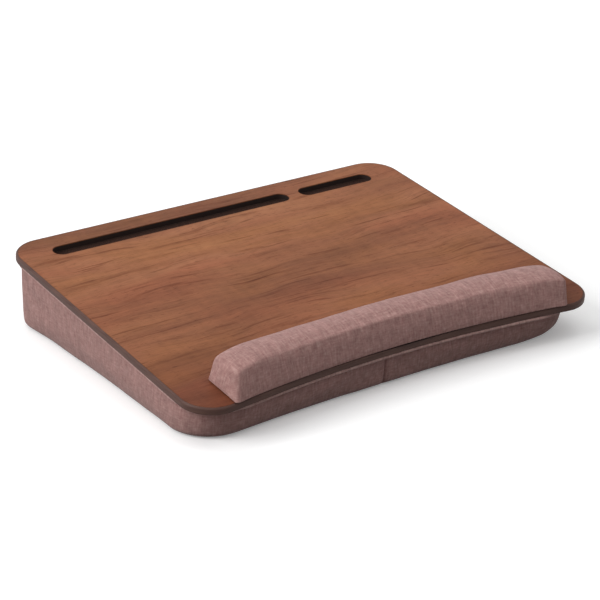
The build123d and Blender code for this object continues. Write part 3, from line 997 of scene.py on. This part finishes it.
rest_cover = grid(
    "wrist_rest_linen",
    ring_size,
    len(rest_rows) - 1,
    lambda column, row: place_on_rest(cover_rings, column, row),
    rest_cloth,
)
edit(rest_cover)
bpy.ops.mesh.normals_make_consistent(inside=False)
bpy.ops.object.mode_set(mode="OBJECT")


def above_board(spot):
    """Height of a point above the board's top."""
    return (spot - on_board(0, 0, 0)).dot(board_up)


rest_held = {}
held_below = rest_lift + 0.0022
for vertex in rest_cover.data.vertices:
    if above_board(vertex.co) < held_below:
        rest_held[vertex.index] = 1.0
inflate(rest_cover, rest_held, pressure=2.2, cap=0.0006)


def behind_turn_in(spot):
    """True on the underside inside the turned-in edge of the cover."""
    if abs(spot.x) > rest_width / 2 - rest_turn_in or above_board(spot) > rest_lift + 0.0008:
        return False
    along = (spot - on_board(0, 0, 0)).dot(Vector((0, slope_cos, slope_sin)))
    front = board_outline.sweep_centre + math.sqrt(board_outline.front_arc**2 - spot.x**2)
    return rest_turn_in < along - front < rest_depth - rest_turn_in


remove_faces(rest_cover, behind_turn_in)
thicken(rest_cover)
cover(rest_cover, linen)
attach(rest_cover, "desk")
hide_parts("wrist_rest_cover")


# Base and tape of the wrist rest: thin brown fibreboard inside, and black foam mounting tape
# that holds the rest just above the board.
base_board = Finish("stiffener", roughness=0.75)
base_fibre = base_board.noise(base_board.place((200.0,) * 3), detail=6.0)
base_board.colour(base_board.ramp(base_fibre, (0.3, srgb(140, 110, 84)), (0.7, srgb(172, 140, 110))))
base_board.bump(base_fibre, 0.3, 0.0002)
rest_base = copy_of("wrist_rest_base", "wrist_rest_base_plate")
arc_centre = on_board(0, board_outline.sweep_centre, 0)
for vertex in rest_base.data.vertices:
    reach = Vector((vertex.co.x, (vertex.co.y - arc_centre.y) / slope_cos)).length
    vertex.co.x *= board_outline.front_arc / reach
cover(rest_base, base_board)
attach(rest_base, "desk")
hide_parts("wrist_rest_base")

tape_foam = Finish("mounting_tape", roughness=0.85, specular=0.2)
tape_cells = tape_foam.noise(tape_foam.place((1400.0,) * 3), detail=3.0)
tape_foam.colour(tape_foam.ramp(tape_cells, (0.3, srgb(22, 20, 20)), (0.7, srgb(40, 37, 36))))
tape_foam.bump(tape_cells, 0.4, 0.0002)
cover(nodes["wrist_rest_tape"], tape_foam)


# Zip: woven tapes with moulded teeth, crimped stops, and a lacquered slider with its pull.
# It lies in the back of the cushion cover, behind the desk.
zip_cloth = Finish("zip_cloth", roughness=0.9, specular=0.15)
twill = zip_cloth.node(
    "TexWave", {"Vector": zip_cloth.place((1500.0, 1500.0, 1500.0)), "Scale": 0.4, "Distortion": 0.5}
)
zip_cloth.colour(zip_cloth.ramp(twill.outputs[1], (0.2, srgb(92, 66, 63)), (0.8, srgb(126, 96, 91))))
zip_cloth.bump(twill.outputs[1], 0.5, 0.0002)
zip_plastic = Finish("zip_plastic", roughness=0.4, specular=0.5)
plastic_cloud = zip_plastic.noise(zip_plastic.place((400.0,) * 3), detail=3.0)
zip_plastic.colour(zip_plastic.ramp(plastic_cloud, (0.3, srgb(96, 70, 67)), (0.7, srgb(118, 90, 86))))
zip_plastic.bump(plastic_cloud, 0.15, 0.0001)
zip_metal = Finish("zip_metal", roughness=0.32, specular=0.6)
zip_metal.shader.inputs["Metallic"].default_value = 0.8
metal_cloud = zip_metal.noise(zip_metal.place((700.0,) * 3), detail=4.0)
zip_metal.colour(zip_metal.ramp(metal_cloud, (0.3, srgb(96, 84, 80)), (0.7, srgb(136, 122, 116))))
zip_metal.bump(metal_cloud, 0.2, 0.0001)
for name in ("zip_tape_upper", "zip_tape_lower"):
    cover(nodes[name], zip_cloth)
for name in ("zip_teeth_upper", "zip_teeth_lower"):
    cover(nodes[name], zip_plastic)
for name in ("zip_top_stops", "zip_bottom_stop", "zip_slider", "zip_pull"):
    cover(nodes[name], zip_metal)


# Stage: a plain pale floor and soft studio light, most of it from the left, with an even fill.
# The floor and the world look white to the camera and give back little light to the object.
bpy.ops.mesh.primitive_plane_add(size=12, location=(0, 0, -0.0002))
floor = bpy.context.object
floor.name = "floor"
floor_paint = Finish("floor_paint", roughness=0.9, specular=0.1)
rays = floor_paint.node("LightPath").outputs
seen = floor_paint.math("MAXIMUM", rays["Is Camera Ray"], rays["Is Glossy Ray"])
seen = floor_paint.math("MAXIMUM", seen, rays["Is Transmission Ray"])
floor_paint.colour(floor_paint.mix(seen, grey(0.15), grey(0.95)))
floor_paint.shader.inputs["Emission Color"].default_value = grey(1.0)
floor_spot = floor_paint.node("TexCoord").outputs["Object"]
away = floor_paint.node("VectorMath", {0: floor_spot}, operation="LENGTH").outputs[1]
far_glow = floor_paint.ramp(away, (0.35, grey(0.20)), (1.0, grey(0.65)))
floor_glow = floor_paint.math("MULTIPLY", seen, far_glow)
floor_paint.tree.links.new(floor_glow, floor_paint.shader.inputs["Emission Strength"])
cover(floor, floor_paint)


def soft_light(name, spot, aim, size, power):
    """A square soft light at spot that shines at aim."""
    data = bpy.data.lights.new(name, "AREA")
    data.size = size
    data.energy = power
    light = bpy.data.objects.new(name, data)
    light.location = spot
    light.rotation_euler = (Vector(aim) - Vector(spot)).to_track_quat("-Z", "Y").to_euler()
    scene.collection.objects.link(light)


soft_light("key", (-2.9, 0.3, 2.1), (0, 0, 0), 1.8, 82)
soft_light("side", (-0.6, 1.2, 2.4), (0, 0, 0), 1.6, 12)
soft_light("top", (0.4, -0.8, 2.4), (0, 0, 0), 1.4, 10)

world = bpy.data.worlds.new("studio")
world.use_nodes = True
scene.world = world
world_nodes = world.node_tree.nodes
world_links = world.node_tree.links
background = world_nodes["Background"]
background.inputs["Color"].default_value = grey(1.0)
background.inputs["Strength"].default_value = 0.42
backdrop = world_nodes.new("ShaderNodeBackground")
backdrop.inputs["Color"].default_value = grey(1.0)
light_path = world_nodes.new("ShaderNodeLightPath")
either = world_nodes.new("ShaderNodeMath")
either.operation = "MAXIMUM"
passing = world_nodes.new("ShaderNodeMath")
passing.operation = "MAXIMUM"
world_links.new(light_path.outputs["Is Glossy Ray"], passing.inputs[0])
world_links.new(light_path.outputs["Is Transmission Ray"], passing.inputs[1])
world_links.new(light_path.outputs["Is Camera Ray"], either.inputs[0])
world_links.new(passing.outputs[0], either.inputs[1])
backdrop_mix = world_nodes.new("ShaderNodeMixShader")
world_links.new(either.outputs[0], backdrop_mix.inputs[0])
world_links.new(background.outputs[0], backdrop_mix.inputs[1])
world_links.new(backdrop.outputs[0], backdrop_mix.inputs[2])
world_links.new(backdrop_mix.outputs[0], world_nodes["World Output"].inputs["Surface"])


# Camera: the photograph's viewpoint, at the front left and a little above, with a long lens.
# Its place and its turn were solved from the board's outline.
camera_data = bpy.data.cameras.new("camera")
camera_data.lens = 124.2
camera_data.sensor_width = 36.0
camera = bpy.data.objects.new("camera", camera_data)
look = Vector((0.51333, 0.76234, -0.39412))
right = Vector((0.82798, -0.56073, -0.00619))
up = Vector((0.22571, 0.32315, 0.91904))
camera.matrix_world = Matrix.Translation((-0.91666, -1.36201, 0.72878)) @ Matrix(
    (right, up, -look)
).transposed().to_4x4()
scene.collection.objects.link(camera)
scene.camera = camera

scene.view_settings.view_transform = "Standard"
